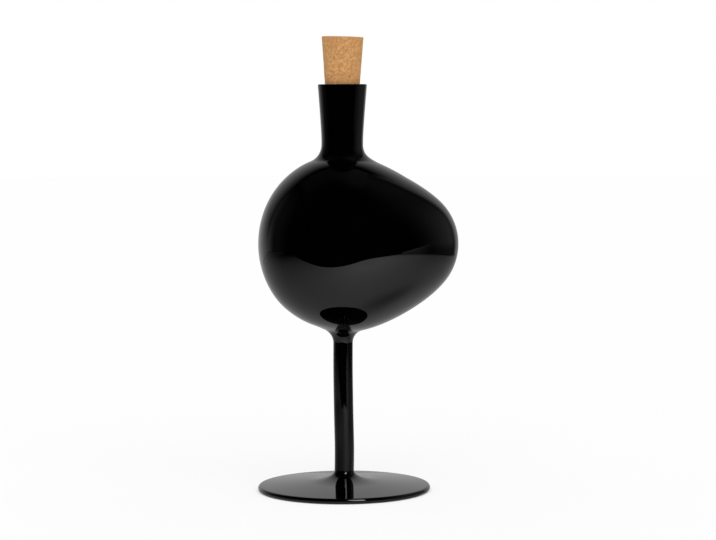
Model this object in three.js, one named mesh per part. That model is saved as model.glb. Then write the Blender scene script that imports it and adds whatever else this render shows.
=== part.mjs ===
// A black glass bottle on a stem and foot, its bulb drawn out to one side, closed by a tapered cork.
// Millimetres, +Z up. The origin is the middle of the foot's underside, and the bulb's drawn-out
// side points along +X.
import * as THREE from "three";

// Foot: a round plate, gently coned, that sweeps up into the stem.
const footDiameter = 114.3;
const footRim = 3.7; // thickness of the rounded rim
const footSlope = THREE.MathUtils.degToRad(4.5);
const footSweep = 20; // how far out from the stem the cone starts to sweep up
const footRise = 5.64; // how high the sweep climbs up the stem

// Stem: a solid rod.
const stemDiameter = 12.9;
const stemLength = 83.1;

// Bulb: a blown shell, round in plan and a little taller than wide, with a ball drawn out of its side.
const bulbDiameter = 111.6;
const bulbHeight = 117.2;
const bulbWall = 3;
const tipReach = 76.4; // from the bottle's axis to the end of the drawn-out side
const tipRadius = 39.2;
const flankSoftness = 9.9; // depth over which the round side and the tip blend
const stemFillet = 8.6;
const neckFillet = 13.4;

// Neck: a flared tube with a tapered seat for the cork.
const neckLength = 37.2;
const throatBore = 18.6; // bore diameter where the neck joins the bulb
const throatWall = 4.4;
const flareStart = 6.4; // height over the joint where the flare's straight line would begin
const lipWall = 4.4;
const lipEdge = 0.8; // polished edge round both sides of the lip
const seatRunOut = 4; // how far the tapered seat goes on below the cork

// Cork
const corkTopDiameter = 27.5;
const corkBottomDiameter = 21;
const corkLength = 45;
const corkDepth = 13.6; // how much of it sits inside the mouth
const corkEdge = 0.7; // worn edge at both ends
const corkClearance = 0.3; // gap all round between the cork and its seat

const weldLand = 1; // straight collar between a fillet and the weld beside it

const facetSag = 0.12; // how far a facet may fall inside the curve that it stands for
const sweepFacets = 8; // along the foot's sweep and along the neck's outer wall

const footRadius = footDiameter / 2;
const stemRadius = stemDiameter / 2;
const bulbRadius = bulbDiameter / 2;
const bulbHalfHeight = bulbHeight / 2;
const throatBoreRadius = throatBore / 2;
const throatRadius = throatBoreRadius + throatWall;

const quarterTurn = Math.PI / 2;
const halfTurn = Math.PI;

// Profile points are (radius, height), and angles run from the outward direction up.
const at = (radius, height) => new THREE.Vector2(radius, height);

const facetsFor = (radius, angle) => Math.ceil(Math.abs(angle) / (2 * Math.acos(1 - facetSag / radius)));

const around = facetsFor(bulbRadius, 2 * halfTurn);

function ellipseArc(centre, radius, halfHeight, from, to) {
  const curve = new THREE.EllipseCurve(centre.x, centre.y, radius, halfHeight, from, to, to < from);
  return curve.getPoints(facetsFor(Math.max(radius, halfHeight), to - from));
}

const arc = (centre, radius, from, to) => ellipseArc(centre, radius, radius, from, to);

// Turns a profile about the Z axis. Neighbouring arcs share an end point, which is kept once.
function turned(profile) {
  const samePoint = 1e-6;
  const points = profile.filter((p, i) => i === 0 || p.distanceTo(profile[i - 1]) > samePoint);
  return new THREE.LatheGeometry(points, around).rotateX(quarterTurn);
}

// The fillet where a straight stalk runs into the top of a spheroid, about the spheroid's middle:
// the fillet's centre, the ellipse angle where it touches the spheroid, and the direction of the
// spheroid's normal there.
function filletOnSpheroid(radius, halfHeight, stalkRadius, fillet) {
  const normalAt = (angle) => at(Math.cos(angle) / radius, Math.sin(angle) / halfHeight).normalize();
  const centreAt = (angle) =>
    at(radius * Math.cos(angle), halfHeight * Math.sin(angle)).addScaledVector(normalAt(angle), fillet);
  const fineEnough = 1e-12;
  let outer = 0;
  let inner = quarterTurn;
  while (inner - outer > fineEnough) {
    const middle = (outer + inner) / 2;
    if (centreAt(middle).x > stalkRadius + fillet) outer = middle;
    else inner = middle;
  }
  return { centre: centreAt(inner), touch: inner, normal: normalAt(inner).angle() };
}

// The foot's top is a cone that touches the rounded rim and sweeps up to stand along the stem.
const rimRadius = footRim / 2;
const rimCentre = at(footRadius - rimRadius, rimRadius);
const coneNormal = at(Math.sin(footSlope), Math.cos(footSlope));
const coneOffset = coneNormal.dot(rimCentre) + rimRadius;
const onCone = (radius) => at(radius, (coneOffset - coneNormal.x * radius) / coneNormal.y);
const sweepTop = onCone(stemRadius).y + footRise;

// The cavity's fillet shares its centre's side with the outer one, one wall further in.
const cavityRadius = bulbRadius - bulbWall;
const cavityHalfHeight = bulbHalfHeight - bulbWall;
const cavityFillet = neckFillet + bulbWall;
const underBulb = filletOnSpheroid(bulbRadius, bulbHalfHeight, stemRadius, stemFillet);
const overBulb = filletOnSpheroid(bulbRadius, bulbHalfHeight, throatRadius, neckFillet);
const overCavity = filletOnSpheroid(cavityRadius, cavityHalfHeight, throatBoreRadius, cavityFillet);

// Heights, from the floor up.
const stemBase = sweepTop + weldLand;
const stemTop = stemBase + stemLength;
const bulbCentre = stemTop + weldLand + underBulb.centre.y;
const neckBase = bulbCentre + Math.max(overBulb.centre.y, overCavity.centre.y) + weldLand;
const mouth = neckBase + neckLength;
const corkBase = mouth - corkDepth;
const corkTop = corkBase + corkLength;

function footGeometry() {
  const sweep = new THREE.QuadraticBezierCurve(
    onCone(stemRadius + footSweep),
    onCone(stemRadius),
    at(stemRadius, sweepTop),
  );
  return turned([
    at(0, 0),
    ...arc(rimCentre, rimRadius, -quarterTurn, quarterTurn - footSlope),
    ...sweep.getPoints(sweepFacets),
    at(stemRadius, stemBase),
    at(0, stemBase),
  ]);
}

function stemGeometry() {
  return turned([
    at(0, stemBase),
    at(stemRadius, stemBase),
    at(stemRadius, stemTop),
    at(0, stemTop),
  ]);
}

const bulbMiddle = new THREE.Vector3(0, 0, bulbCentre);
const bulbSquares = new THREE.Vector3(bulbRadius ** 2, bulbRadius ** 2, bulbHalfHeight ** 2);
const tipOffset = tipReach - tipRadius;

// Moves a point of the round bulb onto the smooth hull of the round bulb and the ball at its tip.
// Both are taken where they face the same way, and they blend where neither stands out clearly.
function drawOut(point) {
  const facing = point.clone().sub(bulbMiddle).divide(bulbSquares).normalize();
  const onRound = facing.clone().multiply(bulbSquares);
  onRound.divideScalar(Math.sqrt(onRound.dot(facing)));
  const onTip = facing.clone().multiplyScalar(tipRadius);
  onTip.x += tipOffset;
  const tipLead = onTip.dot(facing) - onRound.dot(facing);
  const nearness = Math.max(0, 1 - Math.abs(tipLead) / flankSoftness);
  const tipShare = tipLead < 0 ? nearness ** 2 / 2 : 1 - nearness ** 2 / 2;
  const hullLead = Math.max(tipLead, 0) + (flankSoftness * nearness ** 3) / 6;
  point.addScaledVector(onTip.sub(onRound), tipShare);
  point.addScaledVector(facing, hullLead - tipShare * tipLead);
}

function bulbGeometry() {
  const middle = at(0, bulbCentre);
  const stubCentre = at(underBulb.centre.x, bulbCentre - underBulb.centre.y);
  const collarCentre = middle.clone().add(overBulb.centre);
  const throatCentre = middle.clone().add(overCavity.centre);
  const outside = [
    at(0, stemTop),
    at(stemRadius, stemTop),
    ...arc(stubCentre, stemFillet, halfTurn, halfTurn - underBulb.normal),
    ...ellipseArc(middle, bulbRadius, bulbHalfHeight, -underBulb.touch, overBulb.touch),
    ...arc(collarCentre, neckFillet, halfTurn + overBulb.normal, halfTurn),
    at(throatRadius, neckBase),
  ];
  const inside = [
    at(throatBoreRadius, neckBase),
    ...arc(throatCentre, cavityFillet, halfTurn, halfTurn + overCavity.normal),
    ...ellipseArc(middle, cavityRadius, cavityHalfHeight, overCavity.touch, -quarterTurn),
  ];
  const geometry = turned([...outside, ...inside]);
  const position = geometry.getAttribute("position");
  const point = new THREE.Vector3();
  for (let i = 0; i < position.count; i++) {
    drawOut(point.fromBufferAttribute(position, i));
    position.setXYZ(i, point.x, point.y, point.z);
  }
  geometry.computeVertexNormals();
  return geometry;
}

// The cork's taper, and the seat that follows it down the neck.
const corkTaper = (corkTopDiameter - corkBottomDiameter) / 2 / corkLength;
const corkRadius = (height) => corkBottomDiameter / 2 + corkTaper * (height - corkBase);
const seatRadius = (height) => corkRadius(height) + corkClearance;

function neckGeometry() {
  const edgeHeight = mouth - lipEdge;
  const boreRadius = seatRadius(edgeHeight);
  const mouthRadius = boreRadius + lipWall;
  const seatEnd = corkBase - seatRunOut;
  const outerWall = new THREE.QuadraticBezierCurve(
    at(throatRadius, neckBase),
    at(throatRadius, neckBase + flareStart),
    at(mouthRadius, edgeHeight),
  );
  return turned([
    ...outerWall.getPoints(sweepFacets),
    ...arc(at(mouthRadius - lipEdge, edgeHeight), lipEdge, 0, quarterTurn),
    ...arc(at(boreRadius + lipEdge, edgeHeight), lipEdge, quarterTurn, halfTurn),
    at(seatRadius(seatEnd), seatEnd),
    at(throatBoreRadius, neckBase),
    at(throatRadius, neckBase),
  ]);
}

function corkGeometry() {
  const lowEdge = corkBase + corkEdge;
  const highEdge = corkTop - corkEdge;
  return turned([
    at(0, corkBase),
    ...arc(at(corkRadius(lowEdge) - corkEdge, lowEdge), corkEdge, -quarterTurn, 0),
    ...arc(at(corkRadius(highEdge) - corkEdge, highEdge), corkEdge, 0, quarterTurn),
    at(0, corkTop),
  ]);
}

const blackGlass = () =>
  new THREE.MeshStandardMaterial({ color: 0x040404, roughness: 0.04, metalness: 0 });

const pressedCork = () =>
  new THREE.MeshStandardMaterial({ color: 0xc99c69, roughness: 0.88, metalness: 0 });

function piece(name, geometry, material) {
  const mesh = new THREE.Mesh(geometry, material);
  mesh.name = name;
  return mesh;
}

const bottle = new THREE.Group();
bottle.add(
  piece("foot", footGeometry(), blackGlass()),
  piece("stem", stemGeometry(), blackGlass()),
  piece("bulb", bulbGeometry(), blackGlass()),
  piece("neck", neckGeometry(), blackGlass()),
  piece("cork_stopper", corkGeometry(), pressedCork()),
);

export default bottle;
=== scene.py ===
"""A black glass bottle on a stem and foot, closed by a tapered cork, on a plain white floor.

Metres, +Z up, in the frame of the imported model. The bulb's drawn-out side points along +X, and
the photographed side faces -Y.
"""

import math

import bpy
import numpy as np
from mathutils import Euler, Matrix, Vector, noise


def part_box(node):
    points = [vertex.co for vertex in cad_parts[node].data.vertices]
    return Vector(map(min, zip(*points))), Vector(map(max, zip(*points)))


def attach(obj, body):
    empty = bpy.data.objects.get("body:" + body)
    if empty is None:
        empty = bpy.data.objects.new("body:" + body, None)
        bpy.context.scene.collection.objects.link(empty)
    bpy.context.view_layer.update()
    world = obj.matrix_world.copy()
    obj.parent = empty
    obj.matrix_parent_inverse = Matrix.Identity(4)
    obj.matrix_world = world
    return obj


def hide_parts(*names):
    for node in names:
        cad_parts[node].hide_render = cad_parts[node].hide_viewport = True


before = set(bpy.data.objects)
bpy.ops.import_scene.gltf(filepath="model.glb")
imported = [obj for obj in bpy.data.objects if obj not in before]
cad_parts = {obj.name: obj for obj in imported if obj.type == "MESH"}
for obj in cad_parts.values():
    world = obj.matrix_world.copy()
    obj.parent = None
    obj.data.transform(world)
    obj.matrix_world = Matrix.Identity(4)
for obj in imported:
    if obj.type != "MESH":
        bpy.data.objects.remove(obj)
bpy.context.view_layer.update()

foot_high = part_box("foot")[1]
stem_low, stem_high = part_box("stem")
bulb_low, bulb_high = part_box("bulb")
neck_low, neck_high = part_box("neck")
cork_low, cork_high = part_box("cork_stopper")

# Foot and stem
FOOT_RADIUS = foot_high.x
FOOT_RIM = 0.0037  # thickness of the rounded rim
FOOT_SLOPE = math.radians(4.5)
FOOT_SWEEP = 0.020  # how far out from the stem the cone starts to sweep up
FOOT_RISE = 0.00564  # how high the sweep climbs up the stem
STEM_RADIUS = stem_high.x
STEM_BASE = stem_low.z
STEM_TOP = stem_high.z

# Bulb: a spheroid with a ball drawn out of its side
BULB_RADIUS = -bulb_low.x
BULB_HALF_HEIGHT = 0.0586
BULB_WALL = 0.003
TIP_REACH = bulb_high.x  # from the bottle's axis to the end of the drawn-out side
TIP_RADIUS = 0.0392
FLANK_SOFTNESS = 0.0099  # depth over which the round side and the tip blend
STEM_FILLET = 0.0086
NECK_FILLET = 0.0122
WELD_LAND = 0.001  # straight collar between a fillet and the weld beside it

# Neck: a flared tube with a tapered seat for the cork
NECK_BASE = neck_low.z
MOUTH = neck_high.z
MOUTH_RADIUS = neck_high.x
THROAT_BORE_RADIUS = 0.0093
THROAT_WALL = 0.0044
THROAT_RADIUS = THROAT_BORE_RADIUS + THROAT_WALL
FLARE_START = 0.0064  # height over the joint where the flare's straight line would begin
LIP_WALL = 0.0044
LIP_EDGE = 0.0008  # polished edge round both sides of the lip
SEAT_RUN_OUT = 0.004  # how far the tapered seat goes on below the cork

# Cork
CORK_BASE = cork_low.z
CORK_TOP = cork_high.z
CORK_LENGTH = CORK_TOP - CORK_BASE
CORK_TOP_RADIUS = 0.01375
CORK_BOTTOM_RADIUS = 0.0105
CORK_EDGE = 0.0007  # worn edge at both ends
CORK_CLEARANCE = 0.0003  # gap all round between the cork and its seat

# Mesh fineness
AROUND = 224  # facets round a turned piece
SAG = 2e-6  # how far a facet may fall inside the curve that it stands for
BEND_STEPS = 60
STEM_RINGS = 60
CORK_RINGS = 130
CORK_DISC_RINGS = 40
CORK_EDGE_STRIDE = 4  # every fourth point of an arc is enough on the cork's worn edges
HALVINGS = 50  # of a quarter turn, to find where a fillet touches
POLE = 1e-9  # a radius or a step up to this counts as none
CREASE = math.radians(35)  # a sharper fold than this shows as an edge

QUARTER = math.pi / 2
HALF = math.pi


# Profiles are arrays of (radius, height), and angles run from the outward direction up.
def ellipse_arc(centre, across, up, start, end):
    """Points along part of an upright ellipse."""
    step = 2 * math.acos(1 - SAG / max(across, up))
    angles = np.linspace(start, end, math.ceil(abs(end - start) / step) + 1)
    return np.column_stack((centre[0] + across * np.cos(angles), centre[1] + up * np.sin(angles)))


def arc(centre, radius, start, end):
    """Points along part of a circle."""
    return ellipse_arc(centre, radius, radius, start, end)


def bend(start, corner, end):
    """A curve that leaves start towards a corner and arrives at end from it."""
    t = np.linspace(0, 1, BEND_STEPS + 1)[:, None]
    return (1 - t)**2 * np.asarray(start) + 2 * t * (1 - t) * np.asarray(corner) + t**2 * np.asarray(end)


def fillet_on_spheroid(radius, half_height, stalk_radius, fillet):
    """Where a fillet sits between a straight stalk and the top of a spheroid, about its middle.

    Returns the fillet's centre, the ellipse angle where it touches and the normal's angle there.
    """

    def normal_at(angle):
        normal = np.array((math.cos(angle) / radius, math.sin(angle) / half_height))
        return normal / np.linalg.norm(normal)

    def centre_at(angle):
        touch = np.array((radius * math.cos(angle), half_height * math.sin(angle)))
        return touch + fillet * normal_at(angle)

    outer, inner = 0.0, QUARTER
    for _ in range(HALVINGS):
        middle = (outer + inner) / 2
        if centre_at(middle)[0] > stalk_radius + fillet:
            outer = middle
        else:
            inner = middle
    normal = normal_at(inner)
    return centre_at(inner), inner, math.atan2(normal[1], normal[0])


def without_repeats(*stretches):
    """Joins stretches of a profile, and keeps the points that neighbours share once."""
    points = np.concatenate([np.atleast_2d(stretch) for stretch in stretches])
    moved = np.linalg.norm(np.diff(points, axis=0), axis=1) > POLE
    return points[np.concatenate(([True], moved))]


def circle(radius, height, sides):
    """Points round the Z axis."""
    turn = 2 * HALF * np.arange(sides) / sides
    return np.column_stack((radius * np.cos(turn), radius * np.sin(turn), np.full(sides, height)))


def swept(profile):
    """The vertices and faces that a profile sweeps out round the Z axis."""
    vertices = []
    rings = []
    count = 0
    for radius, height in profile:
        if radius < POLE:
            points = np.array([[0.0, 0.0, height]])
            rings.append([count] * AROUND)
        else:
            points = circle(radius, height, AROUND)
            rings.append(list(range(count, count + AROUND)))
        vertices.append(points)
        count += len(points)
    faces = []
    for low, high in zip(rings, rings[1:]):
        for i in range(AROUND):
            j = (i + 1) % AROUND
            corners = (low[i], low[j], high[j], high[i])
            faces.append(tuple(dict.fromkeys(corners)))
    return np.concatenate(vertices), faces


def mesh_piece(name, vertices, faces, material):
    """A smooth mesh object with crisp edges."""
    mesh = bpy.data.meshes.new(name)
    mesh.from_pydata(vertices.tolist(), [], faces)
    mesh.validate()
    mesh.shade_smooth()
    mesh.set_sharp_from_angle(angle=CREASE)
    mesh.materials.append(material)
    piece = bpy.data.objects.new(name, mesh)
    bpy.context.scene.collection.objects.link(piece)
    return piece


def point_values(piece, name, values):
    """Keeps a value for each vertex, for the material to read."""
    layer = piece.data.attributes.new(name, "FLOAT", "POINT")
    layer.data.foreach_set("value", values.astype(np.float32))


def rise(values, start, end):
    """0 up to start, 1 from end on, and smooth between them."""
    share = np.clip((values - start) / (end - start), 0, 1)
    return share * share * (3 - 2 * share)


def fall(values, start, end, loss=1):
    """1 up to start, less by the loss from end on, and smooth between them."""
    return 1 - loss * rise(values, start, end)


def hill(values, middle, radius):
    """1 in the middle, and nearly 0 from two radii out."""
    return np.exp(-((values - middle) / radius)**2)


# Unevenness of hand-made glass
FLANK_SAG = 0.0006  # how far the upper flank of the drawn-out side sinks
BELLY_LIFT = 0.0004  # how far the bulb's underside stands up all round the stem
BELLY_LEFT = 0.00125  # how much more it stands up on the left
BELLY_RIGHT = 0.001  # how far it hangs down on the right
BELLY_NEAR_RISE = (1, 3)  # these four are in stem radii from the axis
BELLY_NEAR_FALL = (2, 9)
BELLY_FAR_RISE = (1, 4)
BELLY_FAR_FALL = (4, 7)
BELLY_FACING = (0.5, 0.8)  # how far down a wall faces where the belly starts, and where it is whole
SHOULDER_LIFT = 0.00017
SHOULDER_TOP = 0.024  # the radius where the shoulder stands up most
SHOULDER_FACING = (0.2, 0.7)  # how far up a wall faces where the shoulder starts, and where it is whole
RIPPLE = 0.00005  # how far the bulb's wall waves in and out

# A ripple has its radians along X, Y and Z of the way that the wall faces, and its first angle.
RIPPLES = ((2.1, 1.3, 3.7, 0.4), (-3.1, 2.4, 1.9, 2.0), (1.2, -4.3, 2.6, 4.1), (4.4, 1.7, -3.3, 5.2))

# A bend of the bottle has its height, how far it reaches up and down, and its shifts along X and Y.
BENDS = (
    (0.027, 0.018, 0.00043, 0),
    (0.082, 0.020, -0.00022, 0),
    (0.090, 0.028, 0, -0.00028),
    (0.200, 0.020, -0.0003, 0),
    (0.290, 0.050, 0.0004, 0),
)

BULB_SQUARES = np.array((BULB_RADIUS**2, BULB_RADIUS**2, BULB_HALF_HEIGHT**2))
TIP_OFFSET = np.array((TIP_REACH - TIP_RADIUS, 0, 0))


def sway(points):
    """Shifts points with the bottle's bends."""
    bent = points.copy()
    for height, extent, *shift in BENDS:
        bent[:, :2] += hill(points[:, 2:], height, extent) * shift
    return bent


def lengths(vectors):
    """The length of each vector."""
    return np.linalg.norm(vectors, axis=1, keepdims=True)


def along(vectors, directions):
    """How far each vector goes along its direction."""
    return np.sum(vectors * directions, axis=1, keepdims=True)


def off_axis(points):
    """How far each point is from the bottle's axis."""
    return np.hypot(points[:, 0], points[:, 1])


def drawn_out(points, middle):
    """Moves points of the round bulb onto the smooth hull of the bulb and the ball at its tip."""
    facing = (points - middle) / BULB_SQUARES
    facing /= lengths(facing)
    on_round = facing * BULB_SQUARES
    on_round /= np.sqrt(along(on_round, facing))
    on_tip = facing * TIP_RADIUS + TIP_OFFSET
    tip_lead = along(on_tip - on_round, facing)
    nearness = np.maximum(0, 1 - np.abs(tip_lead) / FLANK_SOFTNESS)
    tip_share = np.where(tip_lead < 0, nearness**2 / 2, 1 - nearness**2 / 2)
    hull_lead = np.maximum(tip_lead, 0) + FLANK_SOFTNESS * nearness**3 / 6
    sag = FLANK_SAG * nearness**2 * np.maximum(facing[:, 2:], 0)
    ripple = RIPPLE * unevenness(facing)
    lift = hull_lead - tip_share * tip_lead + (ripple - sag) * away_from_welds(points)
    drawn = points + tip_share * (on_tip - on_round) + lift * facing
    drawn[:, 2] += belly(points) * rise(-facing[:, 2], *BELLY_FACING)
    drawn[:, 2] += shoulder(points) * rise(facing[:, 2], *SHOULDER_FACING)
    return drawn


def belly(points):
    """How far the underside stands above its true shape: up round the stem, and down on the right."""
    radius = off_axis(points)
    right = points[:, 0] / np.maximum(radius, POLE)
    stem_radii = radius / STEM_RADIUS
    near = rise(stem_radii, *BELLY_NEAR_RISE) * fall(stem_radii, *BELLY_NEAR_FALL)
    far = rise(stem_radii, *BELLY_FAR_RISE) * fall(stem_radii, *BELLY_FAR_FALL)
    return BELLY_LIFT * near - right * np.where(right < 0, BELLY_LEFT * near, BELLY_RIGHT * far)


def shoulder(points):
    """How far the bulb's top stands above its true shape, round the neck and most on the left."""
    radius = off_axis(points)
    ring = rise(radius, THROAT_RADIUS, SHOULDER_TOP) * fall(radius, SHOULDER_TOP, BULB_RADIUS)
    return SHOULDER_LIFT * ring * (1 - points[:, 0] / np.maximum(radius, POLE))


def unevenness(facing):
    """Slow waves over the directions that the bulb's wall faces, from -1 to 1."""
    total = sum(np.sin(facing @ np.array(turns) + start) for *turns, start in RIPPLES)
    return total[:, None] / len(RIPPLES)


def away_from_welds(points):
    """0 at the stem and the neck, rising to 1 over the bulb's shoulders."""
    return rise(off_axis(points), THROAT_RADIUS, 2 * THROAT_RADIUS)[:, None]


def make_foot(material):
    """A round plate, coned on top, that sweeps up into the stem."""
    rim = FOOT_RIM / 2
    rim_centre = np.array((FOOT_RADIUS - rim, rim))
    normal = np.array((math.sin(FOOT_SLOPE), math.cos(FOOT_SLOPE)))
    offset = normal @ rim_centre + rim

    def on_cone(radius):
        return np.array((radius, (offset - normal[0] * radius) / normal[1]))

    corner = on_cone(STEM_RADIUS)
    profile = without_repeats(
        (0, 0),
        arc(rim_centre, rim, -QUARTER, QUARTER - FOOT_SLOPE),
        bend(on_cone(STEM_RADIUS + FOOT_SWEEP), corner, corner + (0, FOOT_RISE)),
        (STEM_RADIUS, STEM_BASE),
        (0, STEM_BASE),
    )
    vertices, faces = swept(profile)
    return mesh_piece("glass_foot", sway(vertices), faces, material)


def make_stem(material):
    """A solid rod, in rings that can follow the bottle's bends."""
    heights = np.linspace(STEM_BASE, STEM_TOP, STEM_RINGS + 1)
    wall = np.column_stack((np.full_like(heights, STEM_RADIUS), heights))
    vertices, faces = swept(without_repeats((0, STEM_BASE), wall, (0, STEM_TOP)))
    return mesh_piece("glass_stem", sway(vertices), faces, material)


def make_bulb(material):
    """A hollow shell between its fillets to the stem and to the neck."""
    cavity_radius = BULB_RADIUS - BULB_WALL
    cavity_half_height = BULB_HALF_HEIGHT - BULB_WALL
    cavity_fillet = NECK_FILLET + BULB_WALL
    under, under_touch, under_normal = fillet_on_spheroid(
        BULB_RADIUS, BULB_HALF_HEIGHT, STEM_RADIUS, STEM_FILLET)
    over, over_touch, over_normal = fillet_on_spheroid(
        BULB_RADIUS, BULB_HALF_HEIGHT, THROAT_RADIUS, NECK_FILLET)
    throat, throat_touch, throat_normal = fillet_on_spheroid(
        cavity_radius, cavity_half_height, THROAT_BORE_RADIUS, cavity_fillet)
    middle = np.array((0, STEM_TOP + WELD_LAND + under[1]))
    outside = without_repeats(
        (0, STEM_TOP),
        (STEM_RADIUS, STEM_TOP),
        arc(middle + under * (1, -1), STEM_FILLET, HALF, HALF - under_normal),
        ellipse_arc(middle, BULB_RADIUS, BULB_HALF_HEIGHT, -under_touch, over_touch),
        arc(middle + over, NECK_FILLET, HALF + over_normal, HALF),
        (THROAT_RADIUS, NECK_BASE),
    )
    inside = without_repeats(
        (THROAT_BORE_RADIUS, NECK_BASE),
        arc(middle + throat, cavity_fillet, HALF, HALF + throat_normal),
        ellipse_arc(middle, cavity_radius, cavity_half_height, throat_touch, -QUARTER),
    )
    inside[-1, 0] = 0  # the cavity ends on the axis itself
    vertices, faces = swept(without_repeats(outside, inside))
    vertices = drawn_out(vertices, np.array((0, 0, middle[1])))
    return mesh_piece("glass_bulb", sway(vertices), faces, material)


def cork_radius(height):
    """The cork's radius at a height, by its taper."""
    share = (height - CORK_BASE) / CORK_LENGTH
    return CORK_BOTTOM_RADIUS + share * (CORK_TOP_RADIUS - CORK_BOTTOM_RADIUS)


def make_neck(material):
    """A flared tube with a rounded lip and a tapered seat for the cork."""
    edge_height = MOUTH - LIP_EDGE
    bore_radius = MOUTH_RADIUS - LIP_WALL
    seat_end = CORK_BASE - SEAT_RUN_OUT
    throat = (THROAT_RADIUS, NECK_BASE)
    profile = without_repeats(
        bend(throat, (THROAT_RADIUS, NECK_BASE + FLARE_START), (MOUTH_RADIUS, edge_height)),
        arc((MOUTH_RADIUS - LIP_EDGE, edge_height), LIP_EDGE, 0, QUARTER),
        arc((bore_radius + LIP_EDGE, edge_height), LIP_EDGE, QUARTER, HALF),
        (cork_radius(seat_end) + CORK_CLEARANCE, seat_end),
        (THROAT_BORE_RADIUS, NECK_BASE),
        throat,
    )
    vertices, faces = swept(profile)
    return mesh_piece("glass_neck", sway(vertices), faces, material)


# Pressed cork: granules, a few of them torn out of the surface
GRANULE = 0.0013
TONE_SPREAD = 7.3  # takes neighbouring granules to different cells of the noise that tones them
GROOVE_WIDTH = 0.12  # of the grooves between granules, in granules
GROOVE_DEPTH = 0.00009
GRANULE_STEP = 0.00006  # how much deeper the darkest granules lie than the palest
TORN_DEPTH = 0.0002
TORN_SHARE = 0.02
CORK_SLANT = 0.0008  # how much lower the cork's top is on the right
SLANT_POWER = 4  # the slant grows with this power of the height
CORK_LEAN = math.radians(0.5)


def cork_profile():
    """The cork's outline, in rings that are fine enough for its granules."""
    low_edge = CORK_BASE + CORK_EDGE
    high_edge = CORK_TOP - CORK_EDGE
    low_centre = (cork_radius(low_edge) - CORK_EDGE, low_edge)
    high_centre = (cork_radius(high_edge) - CORK_EDGE, high_edge)
    heights = np.linspace(low_edge, high_edge, CORK_RINGS + 1)
    wall = np.column_stack((cork_radius(heights), heights))
    disc = np.linspace(0, 1, CORK_DISC_RINGS + 1)[:-1]
    low_disc = np.column_stack((disc * low_centre[0], np.full(CORK_DISC_RINGS, CORK_BASE)))
    high_disc = np.column_stack((disc[::-1] * high_centre[0], np.full(CORK_DISC_RINGS, CORK_TOP)))
    return without_repeats(
        low_disc,
        arc(low_centre, CORK_EDGE, -QUARTER, 0)[::CORK_EDGE_STRIDE],
        wall,
        arc(high_centre, CORK_EDGE, 0, QUARTER)[::CORK_EDGE_STRIDE],
        high_disc,
    )


def granules(points):
    """For each point, its granule's own tone from 0 to 1 and how far it is from the next granule."""
    tones = np.empty(len(points))
    gaps = np.empty(len(points))
    for i, point in enumerate(points):
        distances, centres = noise.voronoi(Vector(point) / GRANULE)
        tones[i] = (1 + noise.cell(centres[0] * TONE_SPREAD)) / 2
        gaps[i] = distances[1] - distances[0]
    return tones, gaps


def pressed_in(vertices, depth):
    """Moves points of the cork inward, level on its side and towards its middle at its ends."""
    middle = np.array((0, 0, (CORK_BASE + CORK_TOP) / 2))
    inward = middle - vertices
    inward[:, 2] *= np.abs(inward[:, 2]) > CORK_LENGTH / 2 - CORK_EDGE
    return vertices + depth[:, None] * inward / np.maximum(lengths(inward), POLE)


def leaned(vertices):
    """Cuts the cork's top at a slant, and leans the cork in the mouth."""
    moved = vertices.copy()
    height_share = (vertices[:, 2] - CORK_BASE) / CORK_LENGTH
    moved[:, 2] -= CORK_SLANT * height_share**SLANT_POWER * (vertices[:, 0] / CORK_TOP_RADIUS + 1) / 2
    moved[:, 0] += math.tan(CORK_LEAN) * (moved[:, 2] - MOUTH)
    return moved


def make_cork(material):
    """A tapered stopper of granules, whose tones, grooves and tears its material reads."""
    vertices, faces = swept(cork_profile())
    tones, gaps = granules(vertices)
    grooves = np.exp(-gaps / GROOVE_WIDTH)
    torn = np.sqrt(np.clip(1 - tones / TORN_SHARE, 0, 1)) * (1 - grooves)
    depth = GROOVE_DEPTH * grooves + GRANULE_STEP * (1 - tones) + TORN_DEPTH * torn
    shape = sway(leaned(pressed_in(vertices, depth)))
    cork = mesh_piece("cork", shape, faces, material)
    for name, values in (("granule_tone", tones), ("granule_groove", grooves), ("granule_torn", torn)):
        point_values(cork, name, values)
    return cork


# Parts of materials
def set_inputs(tree, node, inputs):
    """Sets a node's inputs. Each is given as a number or colour, or as the socket that feeds it."""
    for name, value in inputs.items():
        if isinstance(value, bpy.types.NodeSocket):
            tree.links.new(value, node.inputs[name])
        else:
            node.inputs[name].default_value = value


def new_node(tree, kind, inputs=None, **settings):
    """Adds a shader node with its settings and inputs."""
    node = tree.nodes.new("ShaderNode" + kind)
    for name, value in settings.items():
        setattr(node, name, value)
    set_inputs(tree, node, inputs or {})
    return node


def new_material(name):
    """A new material, its node tree and its shader."""
    material = bpy.data.materials.new(name)
    material.use_nodes = True
    tree = material.node_tree
    return material, tree, tree.nodes["Principled BSDF"]


def noise_texture(tree, scale, detail, rough=0.5):
    """Noise over the object's own coordinates, from 0 to 1."""
    place = new_node(tree, "TexCoord").outputs["Object"]
    inputs = {"Vector": place, "Scale": scale, "Detail": detail, "Roughness": rough}
    return new_node(tree, "TexNoise", inputs).outputs["Fac"]


def attribute(tree, name):
    """A value that point_values keeps."""
    return new_node(tree, "Attribute", attribute_name=name).outputs["Fac"]


def ramp(tree, source, *stops):
    """A colour for each value, from stops that each have a value and its colour."""
    node = new_node(tree, "ValToRGB", {"Fac": source})
    elements = node.color_ramp.elements
    while len(elements) < len(stops):
        elements.new(1.0)
    for element, (position, colour) in zip(elements, stops):
        element.position = position
        element.color = (*colour, 1.0)
    return node.outputs["Color"]


def spread(tree, source, before, after):
    """Carries values from the span before over to the span after."""
    spans = {"From Min": before[0], "From Max": before[1], "To Min": after[0], "To Max": after[1]}
    return new_node(tree, "MapRange", {"Value": source, **spans}).outputs["Result"]


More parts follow.
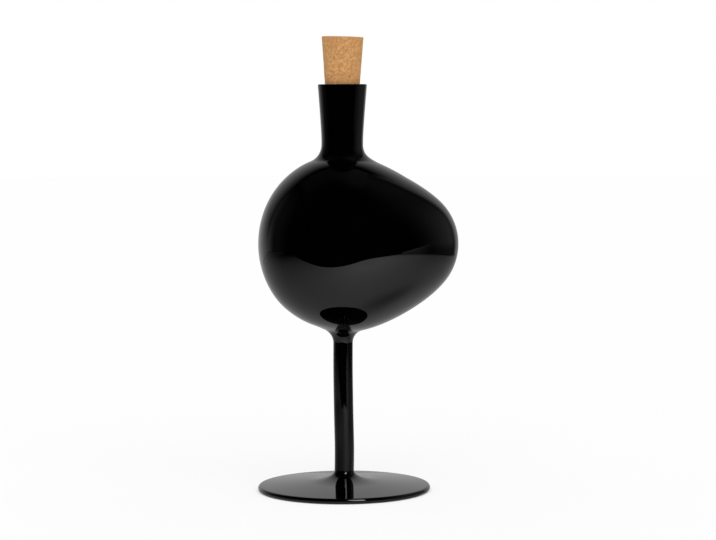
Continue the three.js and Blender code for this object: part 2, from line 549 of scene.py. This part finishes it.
def combined(tree, operation, first, second):
    """The result of an operation on two values, kept from 0 to 1."""
    return new_node(tree, "Math", {0: first, 1: second}, operation=operation, use_clamp=True).outputs[0]


def mixed(tree, share, first, second):
    """The first colour, with a share of the second."""
    inputs = {"Factor": share, "A": first, "B": second}
    return new_node(tree, "Mix", inputs, data_type="RGBA").outputs["Result"]


def bump(tree, height, distance, strength=1.0):
    """A normal that follows a height."""
    inputs = {"Height": height, "Distance": distance, "Strength": strength}
    return new_node(tree, "Bump", inputs).outputs["Normal"]


def mix_shaders(tree, share, first, second):
    """Makes the surface the first shader, with a share of the second."""
    mix = new_node(tree, "MixShader", {0: share, 1: first, 2: second})
    tree.links.new(mix.outputs[0], tree.nodes["Material Output"].inputs["Surface"])


# Materials of the bottle
GLASS_IOR = 1.5
GLASS_DARK = (0.0001, 0.0001, 0.0001)
GLASS_PALE = (0.0005, 0.0005, 0.0005)
GLASS_ROUGHNESS = (0.012, 0.04)
GLASS_CORD_DEPTH = 0.00001
CORK_ROUGHNESS = (0.78, 0.95)
CORK_SPECULAR = 0.25
CORK_PORE_DEPTH = 0.0003
CORK_PORE_STRENGTH = 0.6


def black_glass():
    """Opaque black glass, faintly smeared and with faint cords in its surface."""
    material, tree, shader = new_material("black_glass")
    body = noise_texture(tree, scale=28, detail=2)
    smears = noise_texture(tree, scale=70, detail=5, rough=0.6)
    cords = noise_texture(tree, scale=45, detail=1)
    set_inputs(tree, shader, {
        "IOR": GLASS_IOR,
        "Base Color": ramp(tree, body, (0.35, GLASS_DARK), (0.65, GLASS_PALE)),
        "Roughness": spread(tree, smears, (0.35, 0.7), GLASS_ROUGHNESS),
        "Normal": bump(tree, cords, GLASS_CORD_DEPTH),
    })
    return material


def cork_colour(tree):
    """Granules in tones of their own under a fine grain, dark in their grooves and where they are torn."""
    tone = ramp(
        tree, attribute(tree, "granule_tone"),
        (0.00, (0.39, 0.175, 0.055)),
        (0.20, (0.49, 0.235, 0.080)),
        (0.50, (0.56, 0.285, 0.105)),
        (0.80, (0.62, 0.340, 0.140)),
        (1.00, (0.70, 0.420, 0.190)),
    )
    grain = ramp(
        tree, noise_texture(tree, scale=1100, detail=5, rough=0.7),
        (0.33, (0.38, 0.170, 0.055)),
        (0.50, (0.56, 0.285, 0.105)),
        (0.67, (0.70, 0.410, 0.180)),
    )
    dark = ramp(
        tree, noise_texture(tree, scale=600, detail=3),
        (0.0, (0.22, 0.090, 0.028)),
        (1.0, (0.34, 0.155, 0.055)),
    )
    blotches = spread(tree, noise_texture(tree, scale=350, detail=2), (0.3, 0.7), (0.35, 0.6))
    grooves = spread(tree, attribute(tree, "granule_groove"), (0.4, 1.0), (0.0, 0.55))
    torn = spread(tree, attribute(tree, "granule_torn"), (0.2, 0.9), (0.0, 0.7))
    colour = mixed(tree, blotches, tone, grain)
    colour = mixed(tree, grooves, colour, dark)
    return mixed(tree, torn, colour, dark)


def pressed_cork():
    """Raw cork, dull and full of pores."""
    material, tree, shader = new_material("pressed_cork")
    pores = noise_texture(tree, scale=1600, detail=6, rough=0.7)
    set_inputs(tree, shader, {
        "Base Color": cork_colour(tree),
        "Roughness": spread(tree, pores, (0.3, 0.7), CORK_ROUGHNESS),
        "Normal": bump(tree, pores, CORK_PORE_DEPTH, CORK_PORE_STRENGTH),
        "Specular IOR Level": CORK_SPECULAR,
    })
    return material


# Studio: a white floor and a white room, with one soft lamp in front
FLOOR_RADIUS = 6.0
FLOOR_SIDES = 96
FLOOR_WHITE = 0.96
FLOOR_GLOW = 0.7  # share of its white that the floor has by itself
CONTACT_REACH = 0.002  # how near the foot the floor loses that share, which paints contact shade there
CONTACT_SAMPLES = 4
AMBIENT = 0.76
KEY_STRENGTH = 1.17
KEY_ANGLE = math.radians(70)
KEY_FROM = (math.radians(48), 0, math.radians(11))
WHITE = (1, 1, 1, 1)
BLACK = (0, 0, 0, 1)


def seen_directly(tree):
    """1 for the rays of the camera, of reflections and through glass, which find the background white."""
    rays = new_node(tree, "LightPath")
    seen = combined(tree, "MAXIMUM", rays.outputs["Is Camera Ray"], rays.outputs["Is Glossy Ray"])
    return combined(tree, "MAXIMUM", seen, rays.outputs["Is Transmission Ray"])


def make_floor():
    """A white floor that keeps the bottle's shadow and the dark line where the foot stands. The line is
    partly real shade and partly painted contact shade, where the floor's glow fades near the foot.
    """
    material, tree, shader = new_material("white_floor")
    set_inputs(tree, shader, {
        "Base Color": (FLOOR_WHITE, FLOOR_WHITE, FLOOR_WHITE, 1),
        "Roughness": 1.0,
        "Specular IOR Level": 0.0,
    })
    white = new_node(tree, "Emission")
    # Painted contact shade: ambient occlusion takes the floor's glow away near the foot.
    contact = new_node(tree, "AmbientOcclusion", {"Distance": CONTACT_REACH}, samples=CONTACT_SAMPLES)
    share = spread(tree, seen_directly(tree), (0, 1), (0, FLOOR_GLOW))
    glow = combined(tree, "MULTIPLY", share, contact.outputs["AO"])
    mix_shaders(tree, glow, shader.outputs[0], white.outputs[0])
    outline = circle(FLOOR_RADIUS, 0, FLOOR_SIDES)
    floor = mesh_piece("floor", outline, [tuple(range(FLOOR_SIDES))], material)


def make_world():
    """White wherever the camera or the glass looks, and a plain soft light on everything."""
    world = bpy.data.worlds.new("studio")
    bpy.context.scene.world = world
    world.use_nodes = True
    tree = world.node_tree
    strength = spread(tree, seen_directly(tree), (0, 1), (AMBIENT, 1))
    set_inputs(tree, tree.nodes["Background"], {"Color": WHITE, "Strength": strength})


def make_key_light():
    """A wide soft lamp from above in front, which the glass does not mirror."""
    lamp = bpy.data.lights.new("key", "SUN")
    lamp.energy = KEY_STRENGTH
    lamp.angle = KEY_ANGLE
    key = bpy.data.objects.new("key", lamp)
    key.rotation_euler = KEY_FROM
    key.visible_glossy = False
    bpy.context.scene.collection.objects.link(key)


# Set: dark drapes, a dark ceiling and a polished sheet over the floor, which reflections alone see. They
# are painted reflections, and the light and shade on them, the foot's shadow on the sheet too, are
# painted.
DRAPE_LEFT = -1.3
DRAPE_RIGHT = 0.69
DRAPE_BACK = 0.77
DRAPE_TOP = 1.8
FRONT_LEFT = -0.34  # where the front drape stands on the left
FRONT_STEP = 0.2  # how much further forward it stands on the right
FRONT_TURN = (-0.22, 0.44)  # between these it goes over from the one to the other
SHEET_LIFT = 0.0005
PANEL_CELLS = 128


# A panel's painted lights are shares of the white behind it. Each comes or goes over stretches that run
# across from left to right, along from front to back, or up, and a loss is the part of it that goes.
def front_edge(x):
    """Where the front drape stands, which is further back on the left."""
    return FRONT_LEFT - FRONT_STEP * rise(x, *FRONT_TURN)


def front_share(x, y, z):
    """Dark all over."""
    return np.zeros_like(x)


# Right drape
RIGHT_LIGHT = 0.17
RIGHT_ALONG = (-0.45, 0.1)
RIGHT_BEHIND_ALONG = (0.3, 0.6)
RIGHT_BEHIND_LOSS = 0.6
RIGHT_FLOOR_SHARE = 0.35  # of the light, at the floor
RIGHT_FLOOR_UP = (0.05, 0.2)
RIGHT_TOP_UP = (0.35, 0.95)
RIGHT_TOP_LOSS = 0.75
RIGHT_END_LIGHT = 0.25
RIGHT_END_ALONG = (0.5, DRAPE_BACK)
RIGHT_END_UP = (0.9, DRAPE_TOP)
WEDGE_LIGHT = 0.15
WEDGE_ALONG = (-0.43, -0.20)
WEDGE_SLOPE = 0.53
WEDGE_HEIGHT = 0.025
WEDGE_SOFTNESS = 0.01
WEDGE_EDGE_LIGHT = 0.2
WEDGE_EDGE_WIDTH = 0.02


def right_share(x, y, z):
    """A faint light beside the bottle, a brighter far end, and a low wedge of light past the front end."""
    beside = RIGHT_LIGHT * rise(y, *RIGHT_ALONG) * fall(y, *RIGHT_BEHIND_ALONG, RIGHT_BEHIND_LOSS)
    beside *= RIGHT_FLOOR_SHARE + (1 - RIGHT_FLOOR_SHARE) * rise(z, *RIGHT_FLOOR_UP)
    beside *= fall(z, *RIGHT_TOP_UP, RIGHT_TOP_LOSS)
    end = RIGHT_END_LIGHT * rise(y, *RIGHT_END_ALONG) * fall(z, *RIGHT_END_UP)
    below_edge = WEDGE_SLOPE * (y - front_edge(x)) + WEDGE_HEIGHT - z
    wedge = WEDGE_LIGHT + WEDGE_EDGE_LIGHT * hill(below_edge, 0, WEDGE_EDGE_WIDTH)
    wedge *= rise(below_edge, -WEDGE_SOFTNESS, WEDGE_SOFTNESS) * fall(y, *WEDGE_ALONG)
    return beside + end + wedge


# Back drape
BACK_LIGHT = 0.53
BACK_ACROSS = (-1.5, 0)
BACK_RIGHT_ACROSS = (0.1, 0.5)
BACK_RIGHT_LOSS = 0.15
BACK_UP = (0.4, 1.4)
BACK_LIFT = 0.2  # how much higher the light fades at both ends
BACK_DIP = 0.1  # how much less than that in between
BACK_DIP_ACROSS = (-0.1, 0.15)
BACK_DIP_END_ACROSS = (0.3, DRAPE_RIGHT)
BACK_LOW_LIGHT = 0.25
BACK_LOW_ACROSS = (-0.5, 0)
BACK_LOW_UP = (0, 0.45)


def back_share(x, y, z):
    """An even light that fades to the left and upwards, and some more of it low down on the left."""
    even = BACK_LIGHT * rise(x, *BACK_ACROSS) * fall(x, *BACK_RIGHT_ACROSS, BACK_RIGHT_LOSS)
    low = BACK_LOW_LIGHT * fall(z, *BACK_LOW_UP) * fall(x, *BACK_LOW_ACROSS)
    lift = BACK_LIFT - BACK_DIP * rise(x, *BACK_DIP_ACROSS) + BACK_DIP * rise(x, *BACK_DIP_END_ACROSS)
    return (even + low) * fall(z - lift, *BACK_UP)


# Left drape
LEFT_LIGHT = 0.04
LEFT_ALONG = (-0.34, 0.2)
LEFT_UP = (0.6, 1.6)
LEFT_END_LIGHT = 0.2
LEFT_END_ALONG = (0.35, DRAPE_BACK)
LEFT_END_UP = (0.1, 0.6)
LEFT_END_LOSS = 0.7


def left_share(x, y, z):
    """Nearly dark, with the back's last light at its far end."""
    end = LEFT_END_LIGHT * rise(y, *LEFT_END_ALONG) * fall(z, *LEFT_END_UP, LEFT_END_LOSS)
    return (end + LEFT_LIGHT * rise(y, *LEFT_ALONG)) * fall(z, *LEFT_UP)


# Ceiling
CEILING_LIGHT = 0.02
CEILING_RIGHT_LIGHT = 0.03
CEILING_RIGHT_ACROSS = (-0.2, 0.3)
CEILING_ALONG = (0, 0.5)  # from the front edge


def ceiling_share(x, y, z):
    """Nearly dark, and wholly so in front."""
    light = CEILING_LIGHT + CEILING_RIGHT_LIGHT * rise(x, *CEILING_RIGHT_ACROSS)
    return light * rise(y - front_edge(x), *CEILING_ALONG)


# Sheet
SHEET_LIGHT = 0.55
SHEET_ACROSS = (-1.05, 0.2)
SHEET_SLANT = 0.7  # metres to the left that its dim side draws away, for each metre behind the bottle
SHEET_RIGHT_ACROSS = (0.2, 0.6)
SHEET_RIGHT_LOSS = 0.35
SHEET_EDGE_ACROSS = (0.56, DRAPE_RIGHT)
SHEET_EDGE_LOSS = 0.65
SHEET_FRONT_LIGHT = 0.55
SHEET_FRONT_PLACE = (0.29, 0.4)  # its middle and radius across
SHEET_FRONT_ALONG = (0.08, 0.45)  # from the front edge
SHADOW = 0.3
SHADOW_ACROSS = (0.107, 0.07)  # middle and radius of the foot's soft shadow
SHADOW_ALONG = (-0.025, 0.04)
FAR_LEFT_LIGHT = 0.07
FAR_LEFT_ACROSS = (-1.2, -0.7)
FAR_LEFT_ALONG = (-0.2, 0.1)


def far_left(x, y):
    """1 at the far end of the sheet's left side, and 0 over most of it."""
    return fall(x, *FAR_LEFT_ACROSS) * rise(y, *FAR_LEFT_ALONG)


def sheet_share(x, y, z):
    """Brightest in front on the right, dim on its left, and with the foot's soft shadow."""
    even = SHEET_LIGHT * rise(x + SHEET_SLANT * np.maximum(y, 0), *SHEET_ACROSS)
    right_loss = SHEET_RIGHT_LOSS * rise(x, *SHEET_RIGHT_ACROSS)
    edge_loss = SHEET_EDGE_LOSS * rise(x, *SHEET_EDGE_ACROSS)
    even *= 1 - right_loss - edge_loss
    front = SHEET_FRONT_LIGHT * hill(x, *SHEET_FRONT_PLACE) * fall(y - front_edge(x), *SHEET_FRONT_ALONG)
    shadow = SHADOW * hill(x, *SHADOW_ACROSS) * hill(y, *SHADOW_ALONG)
    return even + front - shadow + FAR_LEFT_LIGHT * far_left(x, y)


# Gloss of the sheet
SHEET_ROUGHNESS = 0.15
SHEET_GLOSS = (0.05, 0.90)  # from above, and at low angles
GLANCING = (0.78, 0.90)  # the Layer Weight facings between which the gloss grows
NEAR_RADIUS = 0.4  # of the near part of the sheet
NEAR_SOFTNESS = 0.01
FAR_LEFT_GLOSS = -0.4

# What a part of the sheet has over an even gloss of 1, and the turns where that comes and goes. Turns are
# degrees from the front, and more than 0 on the right.
FAR_GLOSSES = ((0.8, (-25, -5), (30, 40)), (-0.5, (-140, -110), (-70, -50)))
NEAR_GLOSSES = ((0.25, (-110, -80), (-20, 10)), (-0.38, (-10, 20), (35, 65)))


def added_gloss(turn, glosses):
    """What the glosses add at each turn."""
    return sum(gloss * rise(turn, *comes) * fall(turn, *goes) for gloss, comes, goes in glosses)


def sheet_polish(x, y):
    """How glossy the sheet is, against an even gloss of 1."""
    turn = np.degrees(np.arctan2(x, -y))
    far = rise(np.hypot(x, y), NEAR_RADIUS - NEAR_SOFTNESS, NEAR_RADIUS + NEAR_SOFTNESS)
    by_turn = far * added_gloss(turn, FAR_GLOSSES) + (1 - far) * added_gloss(turn, NEAR_GLOSSES)
    return 1 + by_turn + FAR_LEFT_GLOSS * far_left(x, y)


# Materials and panels of the set
def dark_cloth(name):
    """Black where its open share is 0 and clear where it is 1."""
    material, tree, shader = new_material(name)
    tree.nodes.remove(shader)
    cloth = new_node(tree, "BsdfDiffuse", {"Color": BLACK})
    clear = new_node(tree, "BsdfTransparent")
    mix_shaders(tree, attribute(tree, "open_share"), cloth.outputs[0], clear.outputs[0])
    return material


def polished(material):
    """Adds a polished top, which mirrors the dark set at low angles."""
    tree = material.node_tree
    under = tree.nodes["Material Output"].inputs["Surface"].links[0].from_socket
    mirror = new_node(tree, "BsdfGlossy", {"Roughness": SHEET_ROUGHNESS})
    facing = new_node(tree, "LayerWeight").outputs["Facing"]
    gloss = spread(tree, facing, GLANCING, SHEET_GLOSS)
    local = combined(tree, "MULTIPLY", gloss, attribute(tree, "polish"))
    mix_shaders(tree, local, under, mirror.outputs[0])
    return material


def net(points):
    """The vertices and faces of a net of points, given as rows of columns."""
    numbers = np.arange(points[..., 0].size).reshape(points.shape[:2])
    corners = (numbers[:-1, :-1], numbers[:-1, 1:], numbers[1:, 1:], numbers[1:, :-1])
    return points.reshape(-1, 3), np.stack(corners, -1).reshape(-1, 4)


def between(start, end):
    """Rows of points from one line of points to another."""
    share = np.linspace(0, 1, PANEL_CELLS + 1)[:, None, None]
    return (1 - share) * start + share * end


def make_panel(name, points, share, material):
    """A panel of the set, with how much of the white behind it shows through."""
    vertices, faces = net(points)
    panel = mesh_piece(name, vertices, faces.tolist(), material)
    point_values(panel, "open_share", np.clip(share(*vertices.T), 0, 1))
    panel.visible_camera = False
    panel.visible_diffuse = False
    panel.visible_shadow = False
    return panel


def make_set():
    """Four drapes, the ceiling and the sheet, on one outline."""
    x = np.linspace(DRAPE_LEFT, DRAPE_RIGHT, PANEL_CELLS + 1)
    front = np.column_stack((x, front_edge(x), np.zeros_like(x)))
    back = np.column_stack((x, np.full_like(x, DRAPE_BACK), np.zeros_like(x)))
    level = between(front, back)
    sides = {"front": front, "back": back, "left": level[:, 0], "right": level[:, -1]}
    shares = {"front": front_share, "back": back_share, "left": left_share, "right": right_share}
    up = np.array((0, 0, DRAPE_TOP))
    cloth = dark_cloth("dark_cloth")
    for side, line in sides.items():
        make_panel("drape_" + side, between(line, line + up), shares[side], cloth)
    make_panel("drape_ceiling", level + up, ceiling_share, cloth)
    lifted = level + np.array((0, 0, SHEET_LIFT))
    sheet = make_panel("table_sheet", lifted, sheet_share, polished(dark_cloth("polished_sheet")))
    point_values(sheet, "polish", sheet_polish(lifted[..., 0].ravel(), lifted[..., 1].ravel()))


# A small lamp in front on the right makes the glints on the foot. It lights the foot and the stem alone.
GLINT_FROM = Vector((0.12, -0.36, 0.27))
GLINT_ON = Vector((0, -0.03, 0.01))
GLINT_WIDTH = 0.14
GLINT_HEIGHT = 0.30
GLINT_POWER = 0.85


def make_glint_light(pieces):
    """A lamp that lights the given pieces and no others."""
    lamp = bpy.data.lights.new("glint", "AREA")
    lamp.shape = "RECTANGLE"
    lamp.size = GLINT_WIDTH
    lamp.size_y = GLINT_HEIGHT
    lamp.energy = GLINT_POWER
    glint = bpy.data.objects.new("glint", lamp)
    glint.location = GLINT_FROM
    glint.rotation_euler = (GLINT_ON - GLINT_FROM).to_track_quat("-Z", "Y").to_euler()
    bpy.context.scene.collection.objects.link(glint)
    lit = bpy.data.collections.new("lit_by_glint")
    for piece in pieces:
        lit.objects.link(piece)
    glint.light_linking.receiver_collection = lit


# Camera: a long lens in front of the bottle, level with its neck
IMAGE_WIDTH = 716
FOCAL_PIXELS = 2300
CAMERA_BACK = 1.514
CAMERA_HEIGHT = 0.2615
CAMERA_DOWN = math.radians(4.35)
CAMERA_PAN = math.radians(0.4)
CAMERA_ROLL = math.radians(0.28)


def make_camera():
    """The camera at the photograph's place."""
    data = bpy.data.cameras.new("camera")
    data.lens = data.sensor_width * FOCAL_PIXELS / IMAGE_WIDTH
    camera = bpy.data.objects.new("camera", data)
    camera.location = (0, -CAMERA_BACK, CAMERA_HEIGHT)
    camera.rotation_euler = Euler((QUARTER - CAMERA_DOWN, CAMERA_ROLL, -CAMERA_PAN))
    bpy.context.scene.collection.objects.link(camera)
    bpy.context.scene.camera = camera


def build_bottle():
    """The four glass pieces, with the lamp that makes their glints."""
    glass = black_glass()
    makers = {"foot": make_foot, "stem": make_stem, "bulb": make_bulb, "neck": make_neck}
    pieces = {node: make(glass) for node, make in makers.items()}
    for node, piece in pieces.items():
        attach(piece, "bottle")
        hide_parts(node)
    make_glint_light((pieces["foot"], pieces["stem"]))


def build_stopper():
    """The cork, which the glass does not mirror."""
    cork = make_cork(pressed_cork())
    cork.visible_glossy = False
    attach(cork, "stopper")
    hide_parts("cork_stopper")


make_camera()
make_world()
make_key_light()
make_floor()
make_set()
build_bottle()
build_stopper()
bpy.context.scene.view_settings.view_transform = "Standard"
